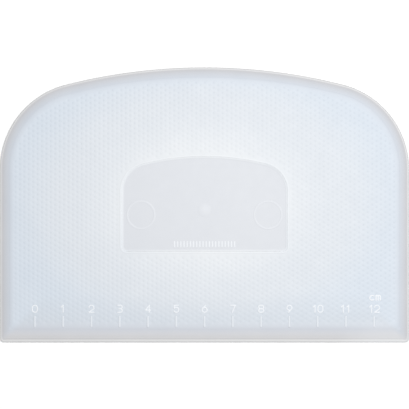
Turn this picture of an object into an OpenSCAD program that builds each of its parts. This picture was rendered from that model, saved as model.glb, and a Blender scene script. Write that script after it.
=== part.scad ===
// Bench scraper: a flexible translucent dough card with one straight edge, two sides and a crowned top.
// It lies on its flat back. X runs along the straight edge, +Y points from that edge to the crown, and
// +Z is the thickness. The origin is the middle of the back face.
// The real card is one moulding. Each node below is one region of it, and neighbours meet face to face.

/* [Plate] */
// Width over the two straight sides
plate_w = 145; // [130:1:180]
// Height from the straight edge to the top of the crown
plate_h = 97.5; // [90:0.5:120]
// Radius of the crowned top edge
crown_r = 200; // [150:5:300]
// Radius of the two shoulders
shoulder_r = 31; // [20:1:36]
// Radius of the two corners at the ends of the straight edge
foot_r = 1.5; // [0.5:0.1:3]
// Thickness of the gripping field
plate_t = 2.2; // [1.8:0.1:3]

/* [Edges] */
// Thickness at the sides and the crown
edge_t = 1.0; // [0.6:0.1:1.4]
// Width of the smooth rim along the sides and the crown
rim_w = 3.4; // [2:0.1:5]
// Thickness of the straight scraping edge
blade_t = 0.8; // [0.5:0.1:1.2]
// Width of the smooth bevel behind the straight edge
blade_h = 4.7; // [3.5:0.1:5]
// Height of the step from the rim and the bevel up to the gripping field
step_h = 0.2; // [0.1:0.05:0.3]

/* [Centre panel] */
// Width of the smooth sunken panel
panel_w = 58.7; // [50:0.1:64]
// Height of the panel
panel_h = 33.7; // [30:0.1:38]
// Distance from the straight edge to the panel
panel_y = 32.2; // [30:0.1:36]
// Radius of the panel's crowned top
panel_crown_r = 90; // [70:5:140]
// Radius of the panel's shoulders
panel_shoulder_r = 10; // [6:0.5:12]
// Radius of the panel's lower corners
panel_foot_r = 1.8; // [0.5:0.1:3]
// Depth of the panel below the gripping field
panel_sink = 0.3; // [0.1:0.05:0.6]
// Width of the raised line around the panel
border_w = 0.7; // [0.4:0.1:1.2]

/* [Scale and marks] */
// Length of the scale in centimetres
scale_cm = 12; // [6:1:12]
// Distance from the straight edge to the lower end of the ticks
tick_y = 5.4; // [5.3:0.1:6]
// Length of a tick
tick_l = 4.2; // [3:0.1:4.8]
// Width of a tick
tick_w = 0.9; // [0.4:0.1:1]
// Distance from the straight edge to the foot of the numerals
numeral_y = 10.5; // [10.4:0.1:12]
// Height of the numerals
numeral_h = 3; // [2.4:0.1:3.6]
// Stroke width of the numerals
stroke_w = 0.54; // [0.3:0.02:0.56]
// Height of every raised line and mark over its ground
mark_h = 0.15; // [0.1:0.05:0.3]
// Diameter of the moulding gate's mark
gate_d = 5; // [3:0.5:7]
// Outer diameter of the two ejector marks
ejector_d = 10.5; // [6:0.5:12]
// Distance of each ejector mark from the middle line
ejector_x = 22.5; // [18:0.1:22.5]

/* [Hidden] */
$fn = 96;

// Length of one division of the scale
CM = 10;
// Centre of the crown's arc and of a shoulder's arc, and the direction in which the two arcs meet
crown_y = plate_h - crown_r;
shoulder_x = plate_w / 2 - shoulder_r;
shoulder_y = crown_y + sqrt(pow(crown_r - shoulder_r, 2) - pow(shoulder_x, 2));
shoulder_angle = atan2(shoulder_y - crown_y, shoulder_x);
// Thickness at the back of the rim and of the bevel, and in the panel
rim_t = plate_t - step_h;
panel_t = plate_t - panel_sink;
// Cutters reach this far past what they cut
past = 1;
// Half the width of a digit, and the distance between the middles of two digits
numeral_r = 0.38 * numeral_h;
digit_step = 0.63 * numeral_h;
// Foot and height of the unit's letters
unit_y = 14.8;
unit_h = 2.2;
// Heights of the panel's marks over the straight edge, and the width of the ejector marks' line
gate_y = 46.9;
ejector_y = 45.2;
ejector_w = 0.8;
// Number of bars in the legend, their distance from the straight edge, their size and their spacing
legend_count = 20;
legend_y = 33.7;
legend_h = 2.3;
legend_bar_w = 0.55;
legend_step = 1.12;

milky = [0.84, 0.87, 0.9];
clear_milky = [0.78, 0.79, 0.81];
bright_milky = [0.93, 0.95, 0.97];

// ---- outlines -------------------------------------------------------------------------------------------

// A crowned outline with its straight edge on y = 0: foot corners, straight sides, shoulders and crown
module crowned_outline(w, h, top_r, side_r, corner_r) {
    x = w / 2 - side_r;
    base = h - top_r;
    y = base + sqrt(pow(top_r - side_r, 2) - pow(x, 2));
    translate([-w / 2, corner_r]) square([w, y - corner_r]);
    for (side = [-1, 1]) translate([side * x, y]) circle(side_r);
    if (corner_r > 0) {
        translate([-w / 2 + corner_r, 0]) square([w - 2 * corner_r, corner_r]);
        for (side = [-1, 1]) translate([side * (w / 2 - corner_r), corner_r]) circle(corner_r);
    }
    intersection() {
        translate([0, base]) circle(top_r, $fn = 360);
        polygon([[-x, y], [x, y], [2 * x, base + 2 * (y - base)], [-2 * x, base + 2 * (y - base)]]);
    }
}

// The panel's outline moved outward by d
module panel_outline(d) {
    w = panel_w + 2 * d;
    h = panel_h + 2 * d;
    translate([0, panel_y - d])
        crowned_outline(w, h, panel_crown_r + d, panel_shoulder_r + d, panel_foot_r + d);
}

// ---- the rim, swept along the edges ---------------------------------------------------------------------

// The section of the rim, with the plate's edge at x = 0 and the plate towards -x
module rim_section() {
    polygon([[0, 0], [0, edge_t], [-rim_w, rim_t], [-rim_w, 0]]);
}

module along_side() {
    translate([plate_w / 2, shoulder_y, 0])
        rotate([90, 0, 0])
            linear_extrude(shoulder_y - blade_h)
                children();
}

module around_shoulder() {
    translate([shoulder_x, shoulder_y, 0])
        rotate_extrude(angle = shoulder_angle)
            translate([shoulder_r, 0])
                children();
}

module around_crown() {
    translate([0, crown_y, 0])
        rotate([0, 0, shoulder_angle])
            rotate_extrude(angle = 180 - 2 * shoulder_angle, $fn = 360)
                translate([crown_r, 0])
                    children();
}

// Moves a shape drawn upward from the straight edge so that the plate's middle is at the origin
module centred() {
    translate([0, -plate_h / 2, 0]) children();
}

// ---- regions of the moulding ----------------------------------------------------------------------------

// Rises from the scraping edge to the field, and falls to the rim's thickness at both ends
module straight_blade() {
    run = rim_w + past;
    high = edge_t + (rim_t - edge_t) / rim_w * run;
    side = plate_w / 2;
    color(clear_milky) centred() difference() {
        intersection() {
            rotate([90, 0, 90])
                translate([0, 0, -plate_w / 2 - past])
                    linear_extrude(plate_w + 2 * past)
                        polygon([[0, 0], [0, blade_t], [blade_h, rim_t], [blade_h, 0]]);
            translate([0, blade_h + past, 0])
                rotate([90, 0, 0])
                    linear_extrude(blade_h + 2 * past)
                        polygon([
                            [-side, -past], [-side, edge_t], [run - side, high],
                            [side - run, high], [side, edge_t], [side, -past]
                        ]);
        }
        for (turn = [0, 1]) mirror([turn, 0, 0])
            translate([side - foot_r, foot_r, -past])
                linear_extrude(plate_t + 2 * past)
                    difference() {
                        translate([0, -foot_r - past]) square(foot_r + past);
                        circle(foot_r);
                    }
    }
}

module right_side_rim() {
    color(clear_milky) centred() along_side() rim_section();
}

module left_side_rim() {
    color(clear_milky) mirror([1, 0, 0]) right_side_rim();
}

module right_shoulder_rim() {
    color(clear_milky) centred() around_shoulder() rim_section();
}

module left_shoulder_rim() {
    color(clear_milky) mirror([1, 0, 0]) right_shoulder_rim();
}

module crown_rim() {
    color(clear_milky) centred() around_crown() rim_section();
}

// The textured field inside the rims, with an opening for the panel
module grip_field() {
    color(milky) centred() linear_extrude(plate_t) difference() {
        crowned_outline(plate_w - 2 * rim_w, plate_h - rim_w, crown_r - rim_w, shoulder_r - rim_w, 0);
        translate([-plate_w / 2, -past]) square([plate_w, blade_h + past]);
        panel_outline(0);
    }
}

module centre_panel() {
    color(milky) centred() linear_extrude(panel_t) panel_outline(0);
}

// ---- raised lines and marks -----------------------------------------------------------------------------

// Raises flat shapes drawn upward from the straight edge off the ground at height z
module raised(z) {
    centred() translate([0, 0, z]) linear_extrude(mark_h) children();
}

module panel_border() {
    color(bright_milky) raised(plate_t) difference() {
        panel_outline(border_w);
        panel_outline(0);
    }
}

// A straight stroke with round ends
module stroke(p, q) {
    along = q - p;
    for (end = [p, q]) translate(end) circle(stroke_w / 2);
    translate(p)
        rotate(atan2(along[1], along[0]))
            translate([0, -stroke_w / 2])
                square([norm(along), stroke_w]);
}

// A round stroke of middle radius r about c, from angle a anticlockwise over the angle turn
module bow(c, r, a, turn) {
    function at(angle, reach) = [reach * cos(angle), reach * sin(angle)];
    reach = 2 * r + stroke_w;
    translate(c) {
        intersection() {
            difference() {
                circle(r + stroke_w / 2);
                circle(r - stroke_w / 2);
            }
            polygon(concat([[0, 0]], [for (i = [0:4]) at(a + turn * i / 4, reach)]));
        }
        for (end = [a, a + turn]) translate(at(end, r)) circle(stroke_w / 2);
    }
}

module ring(c, r) {
    translate(c) difference() {
        circle(r + stroke_w / 2);
        circle(r - stroke_w / 2);
    }
}

// One digit, standing on y = 0 and centred on x = 0, drawn along the middle of its strokes
module digit(n) {
    r = numeral_r - stroke_w / 2;
    low = stroke_w / 2;
    high = numeral_h - stroke_w / 2;
    bowl = (high - low) / 4;
    if (n == 0) {
        bow([0, high - r], r, 0, 180);
        bow([0, low + r], r, 180, 180);
        for (side = [-r, r]) stroke([side, low + r], [side, high - r]);
    }
    if (n == 1) {
        stroke([0, low], [0, high]);
        stroke([0, high], [-0.8 * r, high - 0.7 * r]);
    }
    if (n == 2) {
        bow([0, high - r], r, -30, 200);
        stroke([r * cos(-30), high - r + r * sin(-30)], [-r, low]);
        stroke([-r, low], [r, low]);
    }
    if (n == 3) {
        for (y = [low + bowl, high - bowl]) bow([r - bowl, y], bowl, -90, 180);
        for (y = [low, high]) stroke([-0.8 * r, y], [r - bowl, y]);
        stroke([-0.3 * r, numeral_h / 2], [r - bowl, numeral_h / 2]);
    }
    if (n == 4) {
        stroke([0.5 * r, low], [0.5 * r, high]);
        stroke([0.5 * r, high], [-r, low + 0.9 * r]);
        stroke([-r, low + 0.9 * r], [r, low + 0.9 * r]);
    }
    if (n == 5) {
        stroke([0.9 * r, high], [-0.8 * r, high]);
        stroke([-0.8 * r, high], [-0.8 * r, low + 1.6 * r]);
        bow([0, low + r], r, -150, 290);
    }
    if (n == 6) {
        ring([0, low + r], r);
        stroke([-r * cos(25), low + r + r * sin(25)], [0.35 * r, high]);
    }
    if (n == 7) {
        stroke([-r, high], [r, high]);
        stroke([r, high], [-0.2 * r, low]);
    }
    if (n == 8) {
        for (turn = [0, 1], y = [low + bowl, high - bowl])
            mirror([turn, 0])
                bow([r - bowl, y], bowl, -90, 180);
        for (y = [low, numeral_h / 2, high]) stroke([bowl - r, y], [r - bowl, y]);
    }
    if (n == 9) translate([0, numeral_h]) rotate(180) digit(6);
}

module number(n) {
    if (n < 10) digit(n);
    if (n >= 10) {
        translate([-digit_step / 2, 0]) digit(floor(n / 10));
        translate([digit_step / 2, 0]) digit(n % 10);
    }
}

// Place along X of the scale's division i
function scale_x(i) = (i - scale_cm / 2) * CM;

module scale_ticks() {
    color(bright_milky) raised(plate_t)
        for (i = [0:scale_cm])
            translate([scale_x(i) - tick_w / 2, tick_y])
                square([tick_w, tick_l]);
}

module scale_numerals() {
    color(bright_milky) raised(plate_t)
        for (i = [0:scale_cm])
            translate([scale_x(i), numeral_y])
                number(i);
}

// The unit "cm" over the last numeral, from one bow and a bar with two arches
module unit_mark() {
    r = unit_h / 2 - stroke_w / 2;
    arch_r = 0.46 * r;
    low = stroke_w / 2;
    top = unit_h - low - arch_r;
    c_x = -0.75;
    m_x = c_x + r + stroke_w;
    color(bright_milky) raised(plate_t) translate([scale_x(scale_cm), unit_y]) {
        bow([c_x, unit_h / 2], r, 50, 260);
        stroke([m_x, low], [m_x, unit_h - low]);
        for (i = [1, 2]) {
            leg_x = m_x + 2 * arch_r * i;
            bow([leg_x - arch_r, top], arch_r, 0, 180);
            stroke([leg_x, low], [leg_x, top]);
        }
    }
}

// The low round spot over the point where the plastic entered the mould
module gate_mark() {
    color(bright_milky) raised(panel_t) translate([0, gate_y]) circle(d = gate_d);
}

// The two rings left by the pins that push the card out of the mould
module ejector_marks() {
    color(bright_milky) raised(panel_t)
        for (side = [-1, 1])
            translate([side * ejector_x, ejector_y])
                difference() {
                    circle(d = ejector_d);
                    circle(d = ejector_d - 2 * ejector_w);
                }
}

// A row of plain bars where such a card carries moulded words
module legend_bars() {
    length = (legend_count - 1) * legend_step + legend_bar_w;
    color(bright_milky) raised(panel_t)
        for (i = [0:legend_count - 1])
            translate([i * legend_step - length / 2, legend_y])
                square([legend_bar_w, legend_h]);
}

straight_blade();
left_side_rim();
right_side_rim();
left_shoulder_rim();
right_shoulder_rim();
crown_rim();
grip_field();
centre_panel();
panel_border();
scale_ticks();
scale_numerals();
unit_mark();
gate_mark();
ejector_marks();
legend_bars();
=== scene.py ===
import math

import bmesh
import bpy
import numpy as np
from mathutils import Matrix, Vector
from mathutils.geometry import delaunay_2d_cdt

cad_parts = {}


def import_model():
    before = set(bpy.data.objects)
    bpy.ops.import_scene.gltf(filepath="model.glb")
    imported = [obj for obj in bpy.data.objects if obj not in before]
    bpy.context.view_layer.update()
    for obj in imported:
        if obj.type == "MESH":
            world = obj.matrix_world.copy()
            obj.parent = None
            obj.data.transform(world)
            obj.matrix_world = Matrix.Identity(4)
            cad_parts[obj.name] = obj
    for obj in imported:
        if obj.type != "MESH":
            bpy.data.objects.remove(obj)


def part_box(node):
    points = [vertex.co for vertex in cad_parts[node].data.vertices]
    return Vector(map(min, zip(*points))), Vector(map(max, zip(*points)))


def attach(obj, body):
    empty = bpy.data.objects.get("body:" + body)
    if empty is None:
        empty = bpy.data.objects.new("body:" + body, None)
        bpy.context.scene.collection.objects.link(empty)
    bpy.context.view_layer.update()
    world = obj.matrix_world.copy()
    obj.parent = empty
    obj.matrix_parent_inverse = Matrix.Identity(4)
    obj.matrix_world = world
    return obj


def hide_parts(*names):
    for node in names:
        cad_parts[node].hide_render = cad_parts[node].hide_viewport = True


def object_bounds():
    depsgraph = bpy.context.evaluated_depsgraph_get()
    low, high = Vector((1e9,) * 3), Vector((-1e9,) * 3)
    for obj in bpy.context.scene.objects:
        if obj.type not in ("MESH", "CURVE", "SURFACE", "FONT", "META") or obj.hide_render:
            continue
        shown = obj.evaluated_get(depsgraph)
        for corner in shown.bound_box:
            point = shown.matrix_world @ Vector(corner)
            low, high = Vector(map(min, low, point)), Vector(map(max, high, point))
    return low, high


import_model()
cad_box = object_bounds()

# Lengths in this script are in millimetres, and MM turns them into metres; the stage is in metres.
MM = 0.001


def box_mm(node):
    """Lowest and highest corner of a CAD node, in millimetres."""
    low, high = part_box(node)
    return np.array(low) / MM, np.array(high) / MM


# ---- sizes ----------------------------------------------------------------------------------------------

# The arcs of the card's outline and of the sunken panel's outline
CROWN_R = 200.0
SHOULDER_R = 31.0
FOOT_R = 1.5
PANEL_CROWN_R = 90.0
PANEL_SHOULDER_R = 10.0
PANEL_FOOT_R = 1.8

card_low, card_high = (np.array(corner) / MM for corner in cad_box)
_, blade_high = box_mm("straight_blade")
side_low, side_high = box_mm("right_side_rim")
_, field_high = box_mm("grip_field")
panel_low, panel_high = box_mm("centre_panel")
gate_low, gate_high = box_mm("gate_mark")
ticks_low, ticks_high = box_mm("scale_ticks")
numerals_low, numerals_high = box_mm("scale_numerals")
unit_low, unit_high = box_mm("unit_mark")
ejector_low, ejector_high = box_mm("ejector_marks")
legend_low, legend_high = box_mm("legend_bars")

HALF_W = card_high[0]
FOOT_Y = card_low[1]
TOP_Y = card_high[1]
RIM_W = side_high[0] - side_low[0]
BLADE_TOP = blade_high[1]
BLADE_H = BLADE_TOP - FOOT_Y
RIM_T = side_high[2]
FIELD_T = field_high[2]
PANEL_T = panel_high[2]
# The gate's mark: its middle, its radius, and the visible dome's height, half of the solid's
GATE = (gate_low + gate_high) / 2
GATE_R = (gate_high[0] - gate_low[0]) / 2
GATE_H = 0.5 * (gate_high[2] - PANEL_T)

# Thickness to which the rim and the blade fall at the card's edge, and how far the fall bulges up
RIM_EDGE_T = 1.0
BLADE_EDGE_T = 0.8
BULGE = 0.35
# The nose: its width, and the lowest height of its upper half
NOSE_W = 0.34
NOSE_LOW = 0.3
# Radius under the card's edge
UNDER_R = 0.15
# The rounded lip along the edge: its middle on the rim and on the blade, half its width and its height
RIM_LIP_D = 0.45
BLADE_LIP_D = 0.8
LIP_HALF = 0.32
LIP_H = 0.09
# A second, lower ridge behind the blade's lip
RIPPLE_D = 1.8
RIPPLE_H = 0.03
# Distance over which the rim's shape passes into the blade's at the card's two corners, the distance below
# the side rims' ends over which it reaches their exact section, and the rounding of the crease between them
BLEND_W = 3.0
JOIN_W = 1.0
CREASE = 0.3
# The field's small rounded step up from the rim, and its slow rise to full thickness
STEP_W = 0.3
STEP_H = 0.03
TAPER_W = 1.7
TAPER_H = 0.17
# The grip texture's dimples: pitch, distance between columns, radius, depth, and the plain margins at the
# field's edge and the panel
PITCH = 1.8
COLUMN = PITCH * math.sqrt(3) / 2
DIMPLE_R = 0.56
DIMPLE_H = 0.065
OUTER_MARGIN = 1.9
PANEL_MARGIN = 1.5
# The fillet between the panel and the wall around it
FILLET_W = 1.0
FILLET_H = 0.09
# Height of the ticks and the numerals, and of the lower marks as shares of it
MARK_H = ticks_high[2] - FIELD_T
BEAD_HEIGHT = 0.25
RING_HEIGHT = 0.3
LEGEND_HEIGHT = 0.5
# Share of a tick's width that is flat on top
TICK_FLAT = 0.3
# How deep the raised marks reach into their ground
ROOT = 0.2
# The pip in the middle of the gate's dome: its share of the height, and its radius
PIP_SHARE = 0.15
PIP_R = 0.5
# The scale: the length of a division, the number of ticks, their width and the first one's place
CM = 10.0
TICKS = 13
TICK_W = 0.9
TICK_X = ticks_low[0] + TICK_W / 2
# The numerals: strokes' width, foot, height, half a digit's width and the step from digit to digit; and the
# place of the middle of the unit's c, from the last tick
STROKE_W = 0.54
NUMERAL_Y = numerals_low[1]
NUMERAL_H = numerals_high[1] - numerals_low[1]
NUMERAL_R = 0.38 * NUMERAL_H
DIGIT_STEP = 0.63 * NUMERAL_H
UNIT_C = -0.75
# The panel's marks: width of the line round the panel and of the ejector rings, and the legend's bars
BORDER_W = 0.7
EJECTOR_W = 0.8
LEGEND_COUNT = 20
LEGEND_W = 0.55

# Steps in an arc of a stroke, and the spacing of the points on a stroke's middle that heights depend on
BOW_STEPS = 32
FINE_SPACING = 0.03
# Lines of mesh points across a stroke, and round its ends, as shares of half its width
STROKE_LINES = (-1.0, -0.85, -0.5, 0.0, 0.5, 0.85, 1.0)
END_LINES = (0.5, 0.85, 1.0)
# Share of half a stroke's width within which a triangle's middle belongs to the stroke
STROKE_REACH = 0.995
# Spacing of the mesh points along the marks' strokes
BEAD_SPACING = 0.25
TICK_SPACING = 0.15
NUMERAL_SPACING = 0.09
PANEL_MARK_SPACING = 0.1
# The smooth band's mesh lines: steps round the nose, over the lips, up the ramp and under the edge
NOSE_STEPS = 7
LIP_STEPS = 21
RAMP_STEPS = 5
UNDER_STEPS = 4
# Steps along the blade's short upright sides
UPRIGHT_STEPS = 8
# The mesh's lines on the blade's underside, as distances from the card's edge
BLADE_UNDER_LINES = (0.02, 0.08, UNDER_R, 1.4)
# The mesh's lines inside the field's edge and outside the panel, as distances from them
FIELD_LINES = (0.05, 0.11, 0.18, STEP_W, 0.6, 1.2)
HOLE_LINES = (0.3, 0.75)
# The panel's outline takes fewer points than the card's, by this factor
PANEL_DENSITY = 0.5
FILLET_STEPS = 10
# Square grids of mesh points: pitch and margin on the plain field, on the panel and on the back
PLAIN_GRID = (1.2, 1.7)
PANEL_GRID = (1.5, 1.9)
BACK_GRID = (6.0, 2.0)
# How far the plain field's grid stays from the panel and from the dimples' middles
HOLE_CLEAR = 1.1
DIMPLE_CLEAR = 1.5
# A dimple's rings of mesh points, as (share of its radius, count)
DIMPLE_RINGS = ((0.42, 6), (0.9, 12))
# The gate dome's rings, and the points around each
GATE_RINGS = 14
GATE_AROUND = 64
# A smooth surface has a crease only where it turns by more than this
SHARP = math.radians(40)
# A distance beyond every real one, a small slack, the gaps between the blade's mesh points and its edge and
# its corners, and the triangulation's tolerance
FAR = 1e9
SLACK = 1e-3
EDGE_GAP = 0.004
CORNER_GAP = 0.01
SAME = 1e-6


# ---- outlines -------------------------------------------------------------------------------------------

class Crowned:
    """A crowned outline about x = 0: a straight foot, two sides, two shoulders and a crown."""

    COUNTS = {"foot": 120, "corner": 10, "side": 44, "shoulder": 44, "crown": 84}

    def __init__(self, half_w, foot_y, top_y, crown_r, shoulder_r, foot_r):
        self.half_w = half_w
        self.foot_y = foot_y
        self.foot_r = foot_r
        self.crown_r = crown_r
        self.shoulder_r = shoulder_r
        self.shoulder_x = half_w - shoulder_r
        self.crown_y = top_y - crown_r
        reach = crown_r - shoulder_r
        self.shoulder_y = self.crown_y + math.sqrt(reach**2 - self.shoulder_x**2)
        self.turn = math.atan2(self.shoulder_y - self.crown_y, self.shoulder_x)

    def depth(self, x, y):
        """How far points lie inside the outline; outside it the number is negative."""
        ax = np.abs(x)
        rise = self.shoulder_y - self.crown_y
        side = self.half_w - ax
        foot = y - self.foot_y
        crown = self.crown_r - np.hypot(x, y - self.crown_y)
        shoulder = self.shoulder_r - np.hypot(ax - self.shoulder_x, y - self.shoulder_y)
        corner_x = self.half_w - self.foot_r
        corner_y = self.foot_y + self.foot_r
        corner = self.foot_r - np.hypot(ax - corner_x, y - corner_y)
        at_shoulder = (y > self.shoulder_y) & (ax * rise > self.shoulder_x * (y - self.crown_y))
        at_corner = (ax > corner_x) & (y < corner_y)
        depth = np.minimum(np.minimum(side, foot), crown)
        depth = np.where(at_shoulder, shoulder, depth)
        return np.where(at_corner, corner, depth)

    def arc(self, centre, radius, start, end, count):
        """Points on an arc, with the first and without the last."""
        angles = start + (end - start) * np.arange(count) / count
        return np.stack([centre[0] + radius * np.cos(angles), centre[1] + radius * np.sin(angles)], 1)

    def line(self, start, end, count):
        """Points on a straight line, with the first and without the last."""
        share = np.arange(count)[:, None] / count
        return np.array(start) + (np.array(end) - np.array(start)) * share

    def loop(self, inset=0.0, density=1.0):
        """The outline moved inward by inset, anticlockwise from the foot's left end."""
        n = {part: round(count * density) for part, count in self.COUNTS.items()}
        x = self.half_w - inset
        low = self.foot_y + inset
        r = self.foot_r - inset
        round_r = max(r, 0.0)
        quarter = math.pi / 2
        foot_x = x - round_r
        foot_y = low + round_r
        shoulder_r = self.shoulder_r - inset
        parts = [self.line((-foot_x, low), (foot_x, low), n["foot"])]
        if r > 0:
            parts.append(self.arc((foot_x, foot_y), r, -quarter, 0, n["corner"]))
        parts.append(self.line((x, foot_y), (x, self.shoulder_y), n["side"]))
        right = (self.shoulder_x, self.shoulder_y)
        parts.append(self.arc(right, shoulder_r, 0, self.turn, n["shoulder"]))
        crown = (0, self.crown_y)
        parts.append(self.arc(crown, self.crown_r - inset, self.turn, math.pi - self.turn, n["crown"]))
        left = (-self.shoulder_x, self.shoulder_y)
        parts.append(self.arc(left, shoulder_r, math.pi - self.turn, math.pi, n["shoulder"]))
        parts.append(self.line((-x, self.shoulder_y), (-x, foot_y), n["side"]))
        if r > 0:
            parts.append(self.arc((-foot_x, foot_y), r, -2 * quarter, -quarter, n["corner"]))
        return np.concatenate(parts)


card = Crowned(HALF_W, FOOT_Y, TOP_Y, CROWN_R, SHOULDER_R, FOOT_R)
field = Crowned(
    HALF_W - RIM_W, BLADE_TOP, TOP_Y - RIM_W, CROWN_R - RIM_W, SHOULDER_R - RIM_W, 0.0
)
panel = Crowned(
    panel_high[0], panel_low[1], panel_high[1], PANEL_CROWN_R, PANEL_SHOULDER_R, PANEL_FOOT_R
)


# ---- heights --------------------------------------------------------------------------------------------

def bump(d, middle, half, height):
    """A rounded ridge of the given half width and height about a distance from the card's edge."""
    away = np.clip(np.abs(d - middle) / half, 0, 1)
    return height * 0.5 * (1 + np.cos(np.pi * away))


def nose(d):
    """0 at the card's very edge, rising round to 1 at the nose's width."""
    away = np.clip(1 - d / NOSE_W, 0, 1)
    return np.sqrt(1 - away**2)


def soft_least(a, b, width):
    """The lesser of two values, rounded where they are closer than width."""
    near = np.clip(1 - np.abs(a - b) / width, 0, 1)
    return np.minimum(a, b) - near**2 * width / 4


def ramp(d, edge_t, width):
    """The rise from the card's edge to the field."""
    share = np.clip(d / width, 0, 1)
    return edge_t + (RIM_T - edge_t) * share * (1 + BULGE * (1 - share))


def edge_top(d, rise, blade):
    """Height of the smooth edge band; blade is 0 on the rim and 1 on the blade."""
    middle = RIM_LIP_D + (BLADE_LIP_D - RIM_LIP_D) * blade
    ripple = bump(d, RIPPLE_D, LIP_HALF, RIPPLE_H) * blade
    high = rise + bump(d, middle, LIP_HALF, LIP_H) + ripple
    return NOSE_LOW + (high - NOSE_LOW) * nose(d)


def rim_top(d):
    return edge_top(d, ramp(d, RIM_EDGE_T, RIM_W), 0.0)


def blade_top(x, y):
    """The bevel behind the blade, which falls to the rim's ramp at both ends."""
    side = HALF_W - np.abs(x)
    foot = y - FOOT_Y
    left = np.clip((BLADE_H - foot) / JOIN_W, SLACK, 1)
    rise = soft_least(ramp(foot, BLADE_EDGE_T, BLADE_H), ramp(side, RIM_EDGE_T, RIM_W), CREASE * left)
    blade = np.clip((side - foot) / BLEND_W + 0.5, 0, 1) * left
    return edge_top(card.depth(x, y), rise, blade)


def under(x, y):
    """The flat back, rounded up at the card's edge."""
    away = np.clip(1 - card.depth(x, y) / UNDER_R, 0, 1)
    return UNDER_R * (1 - np.sqrt(1 - away**2))


def flat_back(x, y):
    return np.zeros_like(x)


def whole_dimple(x, y):
    """Whether dimples with these centres are clear of the field's edge and of the panel."""
    return (field.depth(x, y) > OUTER_MARGIN) & (panel.depth(x, y) < -PANEL_MARGIN)


def dimple_centres():
    """Centres of the whole dimples, on a lattice of equal triangles with one row of neighbours along Y."""
    columns = int(HALF_W / COLUMN) + 1
    rows = int((TOP_Y - FOOT_Y) / 2 / PITCH) + 2
    centres = []
    for i in range(-columns, columns + 1):
        shift = PITCH / 2 * (i % 2)
        for j in range(-rows, rows + 1):
            centres.append((i * COLUMN, j * PITCH + shift))
    centres = np.array(centres)
    return centres[whole_dimple(*centres.T)]


def dimple_points(centres):
    """Mesh points for each dimple: its middle, two rings, and two corners of its cell."""
    offsets = [(0.0, 0.0)]
    for share, count in DIMPLE_RINGS:
        radius = share * DIMPLE_R
        for k in range(count):
            angle = 2 * math.pi * (k + 0.5) / count
            offsets.append((radius * math.cos(angle), radius * math.sin(angle)))
    corner = PITCH / math.sqrt(3)
    offsets += [(corner, 0.0), (-corner, 0.0)]
    spread = centres[:, None, :] + np.array(offsets)[None, :, :]
    keys = np.round(spread.reshape(-1, 2), 4)
    return np.unique(keys, axis=0)


def field_rise(x, y):
    """The field without its dimples: a rounded step, then a slow rise to full thickness."""
    crown = field.depth(x, np.maximum(y, field.foot_y + TAPER_W))
    inward = np.minimum(crown, soft_least(y - field.foot_y, field.half_w - np.abs(x), TAPER_W))
    step = np.clip(1 - inward / STEP_W, 0, 1) ** 2
    taper = np.clip(1 - inward / TAPER_W, 0, 1) ** 2
    return FIELD_T - STEP_H * step - TAPER_H * taper


def field_top(x, y):
    """The field with its dimples, found by the distance to the nearest lattice point."""
    nearest = np.full(np.shape(x), FAR)
    for near in (-1, 0, 1):
        i = np.round(x / COLUMN) + near
        shift = PITCH / 2 * (i % 2)
        j = np.round((y - shift) / PITCH)
        cx = i * COLUMN
        cy = j * PITCH + shift
        away = np.hypot(x - cx, y - cy)
        nearest = np.where(whole_dimple(cx, cy), np.minimum(nearest, away), nearest)
    bowl = np.clip(1 - (nearest / DIMPLE_R) ** 2, 0, 1) ** 2
    return field_rise(x, y) - DIMPLE_H * bowl


def panel_top(x, y):
    """The smooth panel, with a small fillet up to its wall."""
    away = np.clip(1 - panel.depth(x, y) / FILLET_W, 0, 1)
    return PANEL_T + FILLET_H * 0.5 * (1 - np.cos(np.pi * away))


# ---- meshes ---------------------------------------------------------------------------------------------

def nearest_distance(x, y, points):
    """Distance from each place to the nearest of the points, a batch of points at a time."""
    batch = 400
    nearest = np.full(len(x), FAR)
    for start in range(0, len(points), batch):
        part = points[start:start + batch]
        away = np.hypot(x[:, None] - part[:, 0], y[:, None] - part[:, 1]).min(1)
        nearest = np.minimum(nearest, away)
    return nearest


def delaunay(points, edges):
    """Blender's triangulation of points, which keeps the edges and says where each point went."""
    return delaunay_2d_cdt([Vector(p) for p in points.tolist()], edges, [], 0, SAME, True)


def add_piece(name, verts, faces):
    """A closed mesh piece from points in millimetres, smooth except over its sharp edges."""
    mesh = bpy.data.meshes.new(name)
    mesh.from_pydata((np.array(verts) * MM).tolist(), [], faces)
    work = bmesh.new()
    work.from_mesh(mesh)
    bmesh.ops.recalc_face_normals(work, faces=work.faces)
    work.to_mesh(mesh)
    work.free()
    mesh.shade_smooth()
    mesh.set_sharp_from_angle(angle=SHARP)
    mesh.validate()
    piece = bpy.data.objects.new(name, mesh)
    bpy.context.scene.collection.objects.link(piece)
    return piece


def triangulate(loops, extra, keep):
    """Points, triangles and each loop's point numbers, over the area inside the loops that keep accepts."""
    points = np.concatenate([*loops, extra])
    edges = []
    start = 0
    for loop in loops:
        count = len(loop)
        edges += [(start + i, start + (i + 1) % count) for i in range(count)]
        start += count
    out = delaunay(points, edges)
    verts = np.array([tuple(v) for v in out[0]])
    triangles = np.array(out[2])
    place = {}
    for number, sources in enumerate(out[3]):
        for source in sources:
            place[source] = number
    middle = verts[triangles].mean(1)
    triangles = triangles[keep(middle[:, 0], middle[:, 1])]
    rings = []
    start = 0
    for loop in loops:
        rings.append([place[start + i] for i in range(len(loop))])
        start += len(loop)
    return verts, triangles, rings


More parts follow.
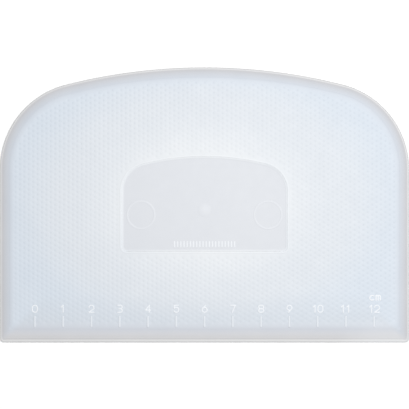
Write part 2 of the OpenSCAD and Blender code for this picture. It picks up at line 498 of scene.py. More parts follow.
def plate(name, loops, keep, top_points, top_z, low_points, low_z):
    """A closed piece between two height surfaces over the same loops, with upright walls."""
    top, top_faces, top_rings = triangulate(loops, top_points, keep)
    low, low_faces, low_rings = triangulate(loops, low_points, keep)
    upper = np.column_stack([top, top_z(top[:, 0], top[:, 1])])
    lower = np.column_stack([low, low_z(low[:, 0], low[:, 1])])
    shift = len(upper)
    faces = top_faces.tolist() + (low_faces[:, ::-1] + shift).tolist()
    for above, below in zip(top_rings, low_rings):
        for i in range(len(above)):
            j = (i + 1) % len(above)
            faces.append([below[i] + shift, below[j] + shift, above[j], above[i]])
    verts = np.concatenate([upper, lower])
    used = np.unique(np.concatenate([np.array(f) for f in faces]))
    renumber = np.full(len(verts), -1)
    renumber[used] = np.arange(len(used))
    faces = [[int(renumber[v]) for v in f] for f in faces]
    return add_piece(name, verts[used], faces)


def sweep(name, stations, section):
    """A closed piece: a section of (distance inward, height) points carried along stations."""
    verts = []
    for point, inward in stations:
        for d, z in section:
            verts.append((point[0] + inward[0] * d, point[1] + inward[1] * d, z))
    count = len(section)
    faces = []
    for s in range(len(stations) - 1):
        for i in range(count):
            j = (i + 1) % count
            a = s * count
            b = a + count
            faces.append([a + i, a + j, b + j, b + i])
    faces.append(list(range(count)))
    faces.append(list(range(len(verts) - count, len(verts))))
    return add_piece(name, verts, faces)


def edge_distances(width):
    """Distances from the card's edge at which the smooth band has mesh points."""
    round_part = [NOSE_W * (1 - math.cos(math.pi / 2 * k / NOSE_STEPS)) for k in range(NOSE_STEPS + 1)]
    ripples = RIPPLE_D + LIP_HALF
    lip_part = np.linspace(NOSE_W, ripples, LIP_STEPS + 1)[1:]
    ramp_part = np.linspace(ripples, width, RAMP_STEPS + 1)[1:]
    return np.concatenate([round_part, lip_part, ramp_part])


def rim_section():
    """The rim's closed section: top, wall and underside."""
    distances = edge_distances(RIM_W)
    section = list(zip(distances, rim_top(distances)))
    section.append((RIM_W, 0.0))
    for k in range(UNDER_STEPS + 1):
        away = math.sin(math.pi / 2 * k / UNDER_STEPS)
        section.append((UNDER_R * (1 - away), UNDER_R * (1 - math.sqrt(1 - away**2))))
    return section


def side_stations(side):
    """The card's edge along a straight side, from the blade up, as points and inward directions."""
    count = Crowned.COUNTS["side"]
    heights = np.linspace(BLADE_TOP, card.shoulder_y, count + 1)
    return [((side * HALF_W, y), (-side, 0.0)) for y in heights]


def shoulder_stations(side):
    """The card's edge round a shoulder, from the side to the crown."""
    stations = []
    for angle in np.linspace(0, card.turn, Crowned.COUNTS["shoulder"] + 1):
        out = (side * math.cos(angle), math.sin(angle))
        point = (
            side * card.shoulder_x + SHOULDER_R * out[0],
            card.shoulder_y + SHOULDER_R * out[1],
        )
        stations.append((point, (-out[0], -out[1])))
    return stations


def crown_stations():
    """The card's edge along the crown, from right to left."""
    stations = []
    for angle in np.linspace(card.turn, math.pi - card.turn, Crowned.COUNTS["crown"] + 1):
        out = (math.cos(angle), math.sin(angle))
        point = (CROWN_R * out[0], card.crown_y + CROWN_R * out[1])
        stations.append((point, (-out[0], -out[1])))
    return stations


def blade_piece():
    """The straight blade with its bevel, its two corners and the ends of its lip."""
    foot_x = HALF_W - FOOT_R
    foot_count = Crowned.COUNTS["foot"]
    across = np.linspace(-foot_x, foot_x, foot_count + 1)
    bends = np.linspace(0, math.pi / 2, Crowned.COUNTS["corner"] + 1)

    def band(inset):
        """The line of the side, the corner, the foot, the corner and the side, moved inward."""
        r = max(FOOT_R - inset, 0.0)
        x = HALF_W - inset - r
        y = FOOT_Y + inset + r
        upright = np.linspace(BLADE_TOP, y, UPRIGHT_STEPS + 1)
        half = [(-HALF_W + inset, v) for v in upright]
        if r > 0:
            half += [(-x - r * math.cos(b), y - r * math.sin(b)) for b in bends[1:]]
        foot = [(v, FOOT_Y + inset) for v in across if abs(v) < x - CORNER_GAP]
        other = [(-p[0], p[1]) for p in reversed(half)]
        return half + foot + other

    def bands(insets):
        """The points of several bands, without their ends on the line to the field."""
        return np.array([p for inset in insets for p in band(inset) if p[1] < BLADE_TOP - SAME])

    def keep(x, y):
        return (card.depth(x, y) > -SLACK) & (y < BLADE_TOP)

    side_x = HALF_W - edge_distances(RIM_W)[1:]
    field_x = np.linspace(HALF_W - RIM_W, RIM_W - HALF_W, foot_count + 1)[1:-1]
    top_x = np.concatenate([side_x, field_x, -side_x[::-1]])
    loop = np.array(band(0.0) + [(v, BLADE_TOP) for v in top_x])
    inner = np.unique(np.round(bands(edge_distances(BLADE_H)[1:-1]), 4), axis=0)
    x, y = inner.T
    inner = inner[(card.depth(x, y) > EDGE_GAP) & (np.abs(x) < HALF_W - EDGE_GAP)]
    return plate("blade_bevel", [loop], keep, inner, blade_top, bands(BLADE_UNDER_LINES), under)


def grid_inside(outline, pitch, margin):
    """Points on a square grid that lie in the outline, at least margin from it."""
    xs = np.arange(-outline.half_w, outline.half_w, pitch)
    ys = np.arange(outline.foot_y, outline.crown_y + outline.crown_r, pitch)
    gx, gy = (g.ravel() for g in np.meshgrid(xs + pitch / 2, ys + pitch / 2))
    kept = outline.depth(gx, gy) > margin
    return np.stack([gx[kept], gy[kept]], 1)


def field_piece():
    """The gripping field, with its dimples, round the opening for the panel."""
    loops = [field.loop(), panel.loop(density=PANEL_DENSITY)[::-1]]
    edge_lines = [field.loop(d) for d in FIELD_LINES]
    hole_lines = [panel.loop(-d, PANEL_DENSITY) for d in HOLE_LINES]
    centres = dimple_centres()
    plain = grid_inside(field, *PLAIN_GRID)
    x, y = plain.T
    plain = plain[(panel.depth(x, y) < -HOLE_CLEAR) & (nearest_distance(x, y, centres) > DIMPLE_CLEAR)]
    points = np.concatenate([*edge_lines, *hole_lines, dimple_points(centres), plain])
    back = grid_inside(field, *BACK_GRID)
    back = back[panel.depth(*back.T) < -BACK_GRID[1]]

    def keep(x, y):
        return (field.depth(x, y) > -SLACK) & (panel.depth(x, y) < SLACK)

    return plate("field_dimpled", loops, keep, points, field_top, back, flat_back)


def panel_piece():
    """The smooth sunken panel."""
    loops = [panel.loop(density=PANEL_DENSITY)]
    insets = np.arange(1, FILLET_STEPS + 1) * FILLET_W / FILLET_STEPS
    lines = [panel.loop(d, PANEL_DENSITY) for d in insets]
    points = np.concatenate([*lines, grid_inside(panel, *PANEL_GRID)])

    def keep(x, y):
        return panel.depth(x, y) > -SLACK

    return plate("panel_smooth", loops, keep, points, panel_top, grid_inside(panel, *BACK_GRID), flat_back)


# ---- raised marks, as rounded ridges along the middle lines of their strokes ------------------------------

def line(p, q):
    """A straight stroke from p to q."""
    return np.array([p, q], float)


def bow(centre, radius, start, turn):
    """An arc from the angle start, anticlockwise over the angle turn, both in degrees."""
    angles = np.radians(start + turn * np.linspace(0, 1, BOW_STEPS + 1))
    return np.stack([centre[0] + radius * np.cos(angles), centre[1] + radius * np.sin(angles)], 1)


def ring(centre, radius):
    """A whole circle."""
    return bow(centre, radius, 0, 360)


def spaced(path, spacing):
    """Points along a path, spacing apart or closer, and the direction across the path at each."""
    steps = np.hypot(*np.diff(path, axis=0).T)
    run = np.concatenate([[0], np.cumsum(steps)])
    count = max(2, math.ceil(run[-1] / spacing) + 1)
    at = np.linspace(0, run[-1], count)
    points = np.stack([np.interp(at, run, path[:, 0]), np.interp(at, run, path[:, 1])], 1)
    along = np.gradient(points, axis=0)
    along /= np.hypot(*along.T)[:, None]
    return points, np.stack([-along[:, 1], along[:, 0]], 1)


def ridge_points(path, half_w, spacing):
    """Mesh points of one stroke: lines along it, and its round ends."""
    middle, across = spaced(path, spacing)
    points = [middle + across * half_w * share for share in STROKE_LINES]
    for end, way in ((0, 1), (-1, -1)):
        side = across[end] * way
        back = np.array([-side[1], side[0]])
        for share in END_LINES:
            count = max(3, math.ceil(math.pi * half_w * share / spacing))
            for k in range(1, count):
                angle = math.pi * k / count
                out = side * math.cos(angle) + back * math.sin(angle)
                points.append((middle[end] + out * half_w * share)[None])
    return np.concatenate(points)


def thinned(points, gap):
    """The points without those that fall in the same small square as an earlier one."""
    _, first = np.unique(np.round(points / gap).astype(int), axis=0, return_index=True)
    return points[np.sort(first)]


def ridges(name, paths, half_w, ground, height, spacing, flat=0.0):
    """Closed rounded ridges along paths, rooted in the ground; flat is the flat share of the width."""
    lines = np.concatenate([spaced(path, FINE_SPACING)[0] for path in paths])
    points = thinned(np.concatenate([ridge_points(path, half_w, spacing) for path in paths]), spacing / 4)
    out = delaunay(points, [])
    flat_points = np.array([tuple(v) for v in out[0]])
    triangles = np.array(out[2])
    x, y = flat_points[triangles].mean(1).T
    triangles = triangles[nearest_distance(x, y, lines) < half_w * STROKE_REACH]
    used, renumbered = np.unique(triangles, return_inverse=True)
    triangles = renumbered.reshape(triangles.shape)
    x, y = flat_points[used].T
    share = np.clip(nearest_distance(x, y, lines) / half_w, 0, 1)
    share = np.clip((share - flat) / (1 - flat), 0, 1)
    top = np.column_stack([x, y, ground + height * np.sqrt(1 - share**2)])
    root = np.column_stack([x, y, np.full(len(x), ground - ROOT)])
    count = len(used)
    faces = triangles.tolist() + (triangles[:, ::-1] + count).tolist()
    sides = set()
    for a, b, c in triangles.tolist():
        sides.update(((a, b), (b, c), (c, a)))
    for a, b in sorted(sides):
        if (b, a) not in sides:
            faces.append([a + count, b + count, b, a])
    return add_piece(name, np.concatenate([top, root]), faces)


def digit_paths(n):
    """The strokes of one digit, standing on y = 0 and centred on x = 0."""
    r = NUMERAL_R - STROKE_W / 2
    low = STROKE_W / 2
    high = NUMERAL_H - STROKE_W / 2
    bowl = (high - low) / 4
    bowls = [bow((r - bowl, y), bowl, -90, 180) for y in (low + bowl, high - bowl)]
    tilt = math.radians(25)
    if n == 0:
        sides = [line((s * r, low + r), (s * r, high - r)) for s in (-1, 1)]
        return [bow((0, high - r), r, 0, 180), bow((0, low + r), r, 180, 180), *sides]
    if n == 1:
        return [line((0, low), (0, high)), line((0, high), (-0.8 * r, high - 0.7 * r))]
    if n == 2:
        top = bow((0, high - r), r, -30, 200)
        return [top, line(top[0], (-r, low)), line((-r, low), (r, low))]
    if n == 3:
        bars = [line((-0.8 * r, y), (r - bowl, y)) for y in (low, high)]
        return [*bowls, *bars, line((-0.3 * r, NUMERAL_H / 2), (r - bowl, NUMERAL_H / 2))]
    if n == 4:
        bar = low + 0.9 * r
        post = line((0.5 * r, low), (0.5 * r, high))
        return [post, line((0.5 * r, high), (-r, bar)), line((-r, bar), (r, bar))]
    if n == 5:
        back = -0.8 * r
        top = line((0.9 * r, high), (back, high))
        return [top, line((back, high), (back, low + 1.6 * r)), bow((0, low + r), r, -150, 290)]
    if n == 6:
        start = (-r * math.cos(tilt), low + r + r * math.sin(tilt))
        return [ring((0, low + r), r), line(start, (0.35 * r, high))]
    if n == 7:
        return [line((-r, high), (r, high)), line((r, high), (-0.2 * r, low))]
    if n == 8:
        bars = [line((bowl - r, y), (r - bowl, y)) for y in (low, NUMERAL_H / 2, high)]
        return [*bowls, *[path * (-1, 1) for path in bowls], *bars]
    return [np.array((0, NUMERAL_H)) - path for path in digit_paths(6)]


def scale_x(division):
    """Place along X of a division of the scale."""
    return TICK_X + CM * division


def numeral_paths():
    """The strokes of the numerals, each number centred on its tick."""
    paths = []
    for division in range(TICKS):
        digits = [int(d) for d in str(division)]
        for k, n in enumerate(digits):
            shift = (k - (len(digits) - 1) / 2) * DIGIT_STEP
            place = np.array((scale_x(division) + shift, NUMERAL_Y))
            paths += [path + place for path in digit_paths(n)]
    return paths


def tick_paths():
    """The scale's ticks, one for each division."""
    low = ticks_low[1] + TICK_W / 2
    high = ticks_high[1] - TICK_W / 2
    return [line((scale_x(i), low), (scale_x(i), high)) for i in range(TICKS)]


def unit_paths():
    """The unit "cm" over the last numeral."""
    height = unit_high[1] - unit_low[1]
    r = height / 2 - STROKE_W / 2
    arch_r = 0.46 * r
    low = STROKE_W / 2
    top = height - low - arch_r
    bar = UNIT_C + r + STROKE_W
    paths = [bow((UNIT_C, height / 2), r, 50, 260), line((bar, low), (bar, height - low))]
    for k in (1, 2):
        leg = bar + 2 * arch_r * k
        paths += [bow((leg - arch_r, top), arch_r, 0, 180), line((leg, low), (leg, top))]
    place = np.array((scale_x(TICKS - 1), unit_low[1]))
    return [path + place for path in paths]


def ejector_paths():
    """The middle lines of the two rings that the ejector pins left."""
    radius = (ejector_high[1] - ejector_low[1]) / 2
    y = (ejector_high[1] + ejector_low[1]) / 2
    x = ejector_high[0] - radius
    return [ring((side * x, y), radius - EJECTOR_W / 2) for side in (-1, 1)]


def legend_paths():
    """A row of plain bars."""
    reach = LEGEND_W / 2
    low = legend_low[1] + reach
    high = legend_high[1] - reach
    places = np.linspace(legend_low[0] + reach, legend_high[0] - reach, LEGEND_COUNT)
    return [line((x, low), (x, high)) for x in places]


def border_path():
    """The middle of the raised line round the panel, as one closed path."""
    loop = panel.loop(-BORDER_W / 2)
    return [np.concatenate([loop, loop[:1]])]


def gate_piece():
    """The low soft dome over the gate, with the small pip where the plastic was cut off."""
    around = GATE_AROUND
    verts = [(GATE[0], GATE[1], PANEL_T + GATE_H)]
    for k in range(1, GATE_RINGS + 1):
        share = k / GATE_RINGS
        r = GATE_R * share
        dome = (1 - PIP_SHARE) * (1 - share**2)
        pip = PIP_SHARE * math.exp(-((r / PIP_R) ** 2))
        z = PANEL_T + GATE_H * (dome + pip)
        for a in range(around):
            angle = 2 * math.pi * a / around
            verts.append((GATE[0] + r * math.cos(angle), GATE[1] + r * math.sin(angle), z))
    rim = len(verts) - around
    base = len(verts)
    verts += [(x, y, PANEL_T - ROOT) for x, y, z in verts[rim:]]
    faces = [[0, 1 + a, 1 + (a + 1) % around] for a in range(around)]
    for k in range(GATE_RINGS - 1):
        for a in range(around):
            b = (a + 1) % around
            inner = 1 + k * around
            outer = inner + around
            faces.append([inner + a, outer + a, outer + b, inner + b])
    for a in range(around):
        b = (a + 1) % around
        faces.append([rim + a, base + a, base + b, rim + b])
    faces.append(list(range(base, base + around)))
    return add_piece("gate_dome", verts, faces)


# ---- materials ------------------------------------------------------------------------------------------

def linear(rgb):
    """A colour given as 0 to 255 display values, as linear light."""
    out = []
    for value in rgb:
        v = value / 255
        out.append(v / 12.92 if v <= 0.04045 else ((v + 0.055) / 1.055) ** 2.4)
    return (*out, 1.0)


class Tree:
    """Adds nodes to a node tree, and returns the socket that each one gives."""

    def __init__(self, tree):
        self.tree = tree

    def put(self, value, socket):
        """Links a socket's value, or sets a plain one."""
        if isinstance(value, bpy.types.NodeSocket):
            self.tree.links.new(value, socket)
        else:
            socket.default_value = value

    def math(self, operation, a, b=0.0, c=0.0, clamp=False):
        node = self.tree.nodes.new("ShaderNodeMath")
        node.operation = operation
        node.use_clamp = clamp
        for value, socket in zip((a, b, c), node.inputs):
            self.put(value, socket)
        return node.outputs[0]

    def length(self, x, y):
        """The length of the vector (x, y)."""
        square = self.math("MULTIPLY", y, y)
        return self.math("SQRT", self.math("MULTIPLY_ADD", x, x, square))

    def ramp(self, value, low, high, stops, smooth=False):
        """A colour ramp over value from low to high; stops are (place in the same units, colour)."""
        share = self.rise(value, low, high - low)
        node = self.tree.nodes.new("ShaderNodeValToRGB")
        node.color_ramp.interpolation = "EASE" if smooth else "LINEAR"
        elements = node.color_ramp.elements
        while len(elements) < len(stops):
            elements.new(0.5)
        for element, (place, colour) in zip(elements, stops):
            element.position = (place - low) / (high - low)
        for element, (place, colour) in zip(elements, stops):
            element.color = colour
        self.put(share, node.inputs[0])
        return node.outputs[0]

    def rise(self, value, start, width):
        """0 up to start, then rising to 1 over width."""
        return self.math("DIVIDE", self.math("SUBTRACT", value, start), width, clamp=True)

    def mix(self, share, a, b):
        """The colour a, with a share of the colour b. A colour mix has its colours on sockets 6, 7 and 2."""
        node = self.tree.nodes.new("ShaderNodeMix")
        node.data_type = "RGBA"
        self.put(share, node.inputs[0])
        self.put(a, node.inputs[6])
        self.put(b, node.inputs[7])
        return node.outputs[2]

    def noise(self, place, scale):
        node = self.tree.nodes.new("ShaderNodeTexNoise")
        node.inputs["Scale"].default_value = scale
        node.inputs["Detail"].default_value = NOISE_DETAIL
        self.put(place, node.inputs["Vector"])
        return node.outputs[0]


def places_group():
    """A node group that gives a point's place on the card, in millimetres.

    Edge is the distance from the card's edge, Blade is 0 on the rim and 1 on the blade, and Reach is the
    distance from the middle of the whitest milk, shortened along X."""
    group = bpy.data.node_groups.new("card_places", "ShaderNodeTree")
    for name in ("Edge", "Blade", "Reach", "Height", "X", "Y"):
        group.interface.new_socket(name, in_out="OUTPUT", socket_type="NodeSocketFloat")
    group.interface.new_socket("Place", in_out="OUTPUT", socket_type="NodeSocketVector")
    t = Tree(group)
    coords = group.nodes.new("ShaderNodeTexCoord")
    scaled = group.nodes.new("ShaderNodeVectorMath")
    scaled.operation = "SCALE"
    scaled.inputs["Scale"].default_value = 1 / MM
    group.links.new(coords.outputs["Object"], scaled.inputs[0])
    apart = group.nodes.new("ShaderNodeSeparateXYZ")
    group.links.new(scaled.outputs[0], apart.inputs[0])
    x, y, z = apart.outputs
    ax = t.math("ABSOLUTE", x)
    side = t.math("SUBTRACT", HALF_W, ax)
    foot = t.math("SUBTRACT", y, FOOT_Y)
    above = t.math("SUBTRACT", y, card.crown_y)
    crown = t.math("SUBTRACT", CROWN_R, t.length(x, above))
    beside = t.math("SUBTRACT", ax, card.shoulder_x)
    over = t.math("SUBTRACT", y, card.shoulder_y)
    shoulder = t.math("SUBTRACT", SHOULDER_R, t.length(beside, over))
    slope = (card.shoulder_y - card.crown_y) / card.shoulder_x
    past_crown = t.math("GREATER_THAN", t.math("MULTIPLY", ax, slope), above)
    past_side = t.math("GREATER_THAN", over, 0.0)
    at_shoulder = t.math("MULTIPLY", past_crown, past_side)
    plain = t.math("MINIMUM", t.math("MINIMUM", side, foot), crown)
    turned = t.math("SUBTRACT", shoulder, plain)
    edge = t.math("MULTIPLY_ADD", turned, at_shoulder, plain)
    corner_x = t.math("SUBTRACT", ax, HALF_W - FOOT_R)
    corner_y = t.math("SUBTRACT", FOOT_Y + FOOT_R, y)
    corner = t.math("SUBTRACT", FOOT_R, t.length(corner_x, corner_y))
    outer = t.math("GREATER_THAN", corner_x, 0.0)
    lower = t.math("GREATER_THAN", corner_y, 0.0)
    at_corner = t.math("MULTIPLY", outer, lower)
    edge = t.math("MULTIPLY_ADD", t.math("SUBTRACT", corner, edge), at_corner, edge)
    nearer = t.math("DIVIDE", t.math("SUBTRACT", side, foot), BLEND_W)
    blade = t.math("ADD", nearer, 0.5, clamp=True)
    over_middle = t.math("SUBTRACT", y, MILK_Y)
    reach = t.length(t.math("MULTIPLY", x, MILK_FLATNESS), over_middle)
    out = group.nodes.new("NodeGroupOutput")
    given = {"Edge": edge, "Blade": blade, "Reach": reach, "Height": z, "X": x, "Y": y}
    for name, socket in given.items():
        group.links.new(socket, out.inputs[name])
    group.links.new(scaled.outputs[0], out.inputs["Place"])
    return group


def plastic(name, colour_of, finish):
    """A milky polypropylene material. colour_of(tree, places) gives its colour."""
    roughness, swing, grain_h, grain_scale = finish
    material = bpy.data.materials.new(name)
    material.use_nodes = True
    tree = material.node_tree
    shader = tree.nodes["Principled BSDF"]
    places = tree.nodes.new("ShaderNodeGroup")
    places.node_tree = GROUP
    t = Tree(tree)
    place = places.outputs["Place"]
    t.put(colour_of(t, places.outputs), shader.inputs["Base Color"])
    cloud = t.noise(place, GLOSS_SCALE)
    rough = t.math("MULTIPLY_ADD", cloud, 2 * swing, roughness - swing)
    t.put(rough, shader.inputs["Roughness"])
    shader.inputs["IOR"].default_value = POLYPROPYLENE_IOR
    bump = tree.nodes.new("ShaderNodeBump")
    bump.inputs["Strength"].default_value = 1.0
    bump.inputs["Distance"].default_value = grain_h * MM
    t.put(t.noise(place, grain_scale), bump.inputs["Height"])
    tree.links.new(bump.outputs[0], shader.inputs["Normal"])
    return material


# Each surface's roughness, how far that swings, and its grain's height in millimetres and its scale
EDGE_FINISH = (0.38, 0.06, 0.004, 4.0)
FIELD_FINISH = (0.45, 0.06, 0.004, 5.0)
PANEL_FINISH = (0.4, 0.05, 0.003, 3.0)
MARK_FINISH = (0.4, 0.05, 0.003, 5.0)
NOISE_DETAIL = 3.0
GLOSS_SCALE = 0.35
POLYPROPYLENE_IOR = 1.49

# Colours, as display values: along the rim and along the blade, at distances from the card's edge in
# millimetres, where the stops within about 2 mm hold painted light and shade (a dark outline and grey where
# the edge refracts, a highlight on the lip and on the blade's second ridge, and shade behind them) before
# the plastic's own grey-blue further in; and over the field, the plastic's own colour at distances from the
# middle of the whitest milk
RIM_TINT_AND_PAINTED_LIGHT = (
    (0.15, (206, 206, 207)),
    (0.42, (220, 220, 221)),
    (0.8, (206, 206, 208)),
    (1.2, (201, 202, 206)),
    (2.0, (204, 207, 213)),
    (3.4, (205, 211, 220)),
    (7.0, (213, 222, 232)),
)
BLADE_TINT_AND_PAINTED_LIGHT = (
    (0.4, (214, 214, 215)),
    (0.78, (233, 233, 233)),
    (1.15, (205, 205, 206)),
    (1.45, (206, 206, 208)),
    (1.75, (213, 213, 215)),
    (2.1, (209, 209, 211)),
    (3.0, (212, 213, 217)),
    (4.7, (207, 211, 219)),
    (8.0, (204, 211, 219)),
)
FIELD_COLOURS = (
    (14.0, (228, 231, 234)),
    (34.0, (217, 222, 228)),
    (52.0, (209, 218, 228)),
)
# The panel's colour, the painted shade in the dimples, the white that raised marks tend to, and the faint
# clouds' two ends
PANEL_COLOUR = linear((209, 212, 218))
PIT_PAINTED_SHADE = linear((170, 180, 194))
MARK = linear((242, 245, 249))
CLOUD_LOW = linear((200, 208, 218))
CLOUD_HIGH = linear((245, 246, 248))
CLOUD_SCALE = 0.12
CLOUD_SHARE = 0.05
CLOUD_SPAN = (0.3, 0.7)
# The middle of the whitest milk, and the factor on distances along X, which makes its rings wide
MILK_Y = float(GATE[1]) + 2.5
MILK_FLATNESS = 0.72
# Distances over which the edge's colours pass into the field's, behind the rim and behind the blade
RIM_FADE = 3.6
BLADE_FADE = 12.5
# A painted glow of light on the blade's lower right end: where it starts, its length, its height and its
# share of white
END_X = 46.0
END_L = 14.0
END_H = 9.0
END_GLOW_SHARE = 0.32
# The painted shade in the dimples: its share round the panel and its growth up to PIT_REACH, and the height
# above the blade over which it sets in
PIT_LEAST = 0.02
PIT_GROWTH = 0.16
PIT_REACH = 52.0
PIT_RISE = 22.0
# Share of the panel's own colour on its flat part, and the shares of white on the raised marks
PANEL_SHARE = 0.8
NUMERAL_SHARE = 0.75
UNIT_SHARE = 0.9
TICK_SHARE = 0.34
BEAD_SHARE = 0.05
GATE_SHARE = 0.16
RING_SHARE = 0.16
LEGEND_SHARE = 0.65
# A colour ramp runs past its last colour by this factor
RAMP_REACH = 1.25


def colour_ramp(t, value, colours, smooth=False):
    """A ramp through colours given as (distance, display values)."""
    stops = [(place, linear(rgb)) for place, rgb in colours]
    return t.ramp(value, 0.0, RAMP_REACH * colours[-1][0], stops, smooth)


def milk(t, places):
    """The plastic's colour: greyer at the edge, with painted highlights, painted shade and painted grey from
    refraction along the lip, blue further in, whitest round the panel, and a painted glow on the blade's
    right end.
    """
    edge = places["Edge"]
    middle = colour_ramp(t, places["Reach"], FIELD_COLOURS, True)
    past_rim = t.rise(edge, RIM_W, RIM_FADE)
    past_blade = t.rise(edge, BLADE_H, BLADE_FADE)
    # The edge's ramps paint highlights on the lip and shade at the outline and behind the lip
    from_rim = t.mix(past_rim, colour_ramp(t, edge, RIM_TINT_AND_PAINTED_LIGHT), middle)
    from_blade = t.mix(past_blade, colour_ramp(t, edge, BLADE_TINT_AND_PAINTED_LIGHT), middle)
    # Painted light: a glow mixed toward white over the blade's lower right end
    near_end = t.rise(places["X"], END_X, END_L)
    low_down = t.math("SUBTRACT", 1.0, t.rise(places["Y"], FOOT_Y, END_H))
    on_blade = t.math("MULTIPLY", places["Blade"], END_GLOW_SHARE)
    painted_end_glow = t.math("MULTIPLY", t.math("MULTIPLY", near_end, low_down), on_blade)
    both = t.mix(painted_end_glow, t.mix(places["Blade"], from_rim, from_blade), MARK)
    cloud = t.noise(places["Place"], CLOUD_SCALE)
    low, high = CLOUD_SPAN
    clouds = t.ramp(cloud, low, high, [(low, CLOUD_LOW), (high, CLOUD_HIGH)])
    return t.mix(CLOUD_SHARE, both, clouds)


def field_colour(t, places):
    """The milk, with painted shade that makes it a little darker in the dimples."""
    pit = t.math("DIVIDE", t.math("SUBTRACT", FIELD_T, places["Height"]), DIMPLE_H, clamp=True)
    plain = OUTER_MARGIN - DIMPLE_R
    inside = t.math("GREATER_THAN", places["Edge"], RIM_W + plain)
    above = t.math("GREATER_THAN", places["Y"], BLADE_TOP + plain)
    clearer = t.math("DIVIDE", places["Reach"], PIT_REACH, clamp=True)
    set_in = t.rise(places["Y"], BLADE_TOP, PIT_RISE)
    there = t.math("MULTIPLY", t.math("MULTIPLY", t.math("MULTIPLY", pit, inside), above), set_in)
    share = t.math("MULTIPLY", there, t.math("MULTIPLY_ADD", clearer, PIT_GROWTH, PIT_LEAST))
    # Painted shade darkens the dimples
    return t.mix(share, milk(t, places), PIT_PAINTED_SHADE)


def whitened(ground_colour, share):
    """The colour function of a raised mark: its ground's colour with a share of white."""
    def colour(t, places):
        return t.mix(share, ground_colour(t, places), MARK)

    return colour


def panel_colour(t, places):
    """The panel's colour, passing into the milk's where the panel rises to its wall."""
    up = t.rise(places["Height"], PANEL_T, FILLET_H)
    return t.mix(t.math("MULTIPLY_ADD", up, -PANEL_SHARE, PANEL_SHARE), milk(t, places), PANEL_COLOUR)


def flat_panel_colour(t, places):
    """The panel's colour away from its wall, which the marks on it start from."""
    return t.mix(PANEL_SHARE, milk(t, places), PANEL_COLOUR)


def gate_colour(t, places):
    """The panel's colour, passing softly into a lighter one over the dome."""
    up = t.rise(places["Height"], PANEL_T, GATE_H)
    return t.mix(t.math("MULTIPLY", up, GATE_SHARE), flat_panel_colour(t, places), MARK)


# ---- the stage, in metres -------------------------------------------------------------------------------

FLOOR_HALF = 3.0
FLOOR_GLOW = 0.18
WORLD_LIGHT = 0.5
KEY_PLACE = (0.09, 0.065, 0.5)
KEY_SIZE = 0.35
KEY_POWER = 1.625
FOCAL_LENGTH = 200
SENSOR_W = 36
# The width that the camera sees at the card's face, and how far up the card it aims
VIEW_W = 144.57 * MM
VIEW_Y = 0.14 * MM


def floor():
    """A plain ground, which glows faintly so that it stays nearly white."""
    corners = [(x * FLOOR_HALF, y * FLOOR_HALF, 0) for x, y in ((-1, -1), (1, -1), (1, 1), (-1, 1))]
    mesh = bpy.data.meshes.new("floor")
    mesh.from_pydata(corners, [], [(0, 1, 2, 3)])
    ground = bpy.data.objects.new("floor", mesh)
    bpy.context.scene.collection.objects.link(ground)
    material = bpy.data.materials.new("floor_white")
    material.use_nodes = True
    shader = material.node_tree.nodes["Principled BSDF"]
    shader.inputs["Base Color"].default_value = (0.9, 0.9, 0.9, 1)
    shader.inputs["Roughness"].default_value = 0.9
    shader.inputs["Specular IOR Level"].default_value = 0.1
    shader.inputs["Emission Color"].default_value = (1, 1, 1, 1)
    shader.inputs["Emission Strength"].default_value = FLOOR_GLOW
    mesh.materials.append(material)


def world():
    """Even white light from all round."""
    made = bpy.data.worlds.new("studio")
    made.use_nodes = True
    background = made.node_tree.nodes["Background"]
    background.inputs["Color"].default_value = (1, 1, 1, 1)
    background.inputs["Strength"].default_value = WORLD_LIGHT
    bpy.context.scene.world = made


def key_light():
    """A round soft light above the card, a little to its right and back, aimed at its middle."""
    light = bpy.data.lights.new("key", "AREA")
    light.shape = "DISK"
    light.size = KEY_SIZE
    light.energy = KEY_POWER
    lamp = bpy.data.objects.new("key", light)
    lamp.location = KEY_PLACE
    lamp.rotation_euler = (-Vector(KEY_PLACE)).to_track_quat("-Z", "Y").to_euler()
    lamp.visible_camera = False
    bpy.context.scene.collection.objects.link(lamp)


def camera():
    """Looks straight down on the card, so that the card fills the picture's width."""
    lens = bpy.data.cameras.new("camera")
    lens.lens = FOCAL_LENGTH
    lens.sensor_width = SENSOR_W
    lens.clip_end = 10
    eye = bpy.data.objects.new("camera", lens)
    eye.location = (0.0, VIEW_Y, FIELD_T * MM + VIEW_W * FOCAL_LENGTH / SENSOR_W)
    bpy.context.scene.collection.objects.link(eye)
    bpy.context.scene.camera = eye


# ---- building -------------------------------------------------------------------------------------------

def fit(piece, node, material):
    """Gives a finished piece its material and its body, and hides the CAD node that it replaces."""
    piece.data.materials.append(material)
    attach(piece, "root")
    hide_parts(node)


def build_edge():
    """The blade and the five stretches of rim."""
    edge_plastic = plastic("edge_plastic", milk, EDGE_FINISH)
    section = rim_section()
    fit(blade_piece(), "straight_blade", edge_plastic)
    for part, stations in (("side", side_stations), ("shoulder", shoulder_stations)):
        for hand, side in (("left", -1), ("right", 1)):
            rim = sweep(f"rim_{hand}_{part}", stations(side), section)
            fit(rim, f"{hand}_{part}_rim", edge_plastic)
    fit(sweep("rim_crown", crown_stations(), section), "crown_rim", edge_plastic)


def build_faces():
    """The field and the panel."""
    field_plastic = plastic("field_plastic", field_colour, FIELD_FINISH)
    panel_plastic = plastic("panel_plastic", panel_colour, PANEL_FINISH)
    fit(field_piece(), "grip_field", field_plastic)
    fit(panel_piece(), "centre_panel", panel_plastic)


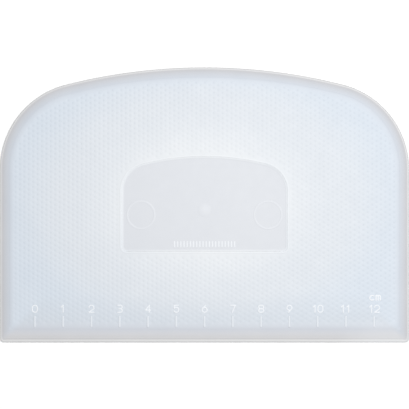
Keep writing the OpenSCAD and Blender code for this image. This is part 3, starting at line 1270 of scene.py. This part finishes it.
def build_scale():
    """The ticks, the numerals and the unit, raised on the field."""
    tick_plastic = plastic("tick_plastic", whitened(milk, TICK_SHARE), MARK_FINISH)
    numeral_plastic = plastic("mark_plastic", whitened(milk, NUMERAL_SHARE), MARK_FINISH)
    unit_plastic = plastic("unit_plastic", whitened(milk, UNIT_SHARE), MARK_FINISH)
    half = TICK_W / 2
    ticks = ridges("ruler_ticks", tick_paths(), half, FIELD_T, MARK_H, TICK_SPACING, TICK_FLAT)
    fit(ticks, "scale_ticks", tick_plastic)
    half = STROKE_W / 2
    numerals = ridges("ruler_numerals", numeral_paths(), half, FIELD_T, MARK_H, NUMERAL_SPACING)
    fit(numerals, "scale_numerals", numeral_plastic)
    unit = ridges("ruler_unit", unit_paths(), half, FIELD_T, MARK_H, NUMERAL_SPACING)
    fit(unit, "unit_mark", unit_plastic)


def build_bead():
    """The raised line on the field round the panel."""
    bead_plastic = plastic("bead_plastic", whitened(milk, BEAD_SHARE), MARK_FINISH)
    height = BEAD_HEIGHT * MARK_H
    bead = ridges("panel_bead", border_path(), BORDER_W / 2, FIELD_T, height, BEAD_SPACING)
    fit(bead, "panel_border", bead_plastic)


def build_panel_marks():
    """The gate's dome, the ejector rings and the row of bars, raised on the panel."""
    gate_plastic = plastic("gate_plastic", gate_colour, PANEL_FINISH)
    ring_plastic = plastic("ring_plastic", whitened(flat_panel_colour, RING_SHARE), PANEL_FINISH)
    legend_plastic = plastic("legend_plastic", whitened(flat_panel_colour, LEGEND_SHARE), MARK_FINISH)
    fit(gate_piece(), "gate_mark", gate_plastic)
    height = RING_HEIGHT * MARK_H
    rings = ridges("ejector_rings", ejector_paths(), EJECTOR_W / 2, PANEL_T, height, PANEL_MARK_SPACING)
    fit(rings, "ejector_marks", ring_plastic)
    height = LEGEND_HEIGHT * MARK_H
    legend = ridges("legend_strokes", legend_paths(), LEGEND_W / 2, PANEL_T, height, PANEL_MARK_SPACING)
    fit(legend, "legend_bars", legend_plastic)


GROUP = places_group()
build_edge()
build_faces()
build_bead()
build_scale()
build_panel_marks()
floor()
world()
key_light()
camera()
bpy.context.scene.view_settings.view_transform = "Standard"
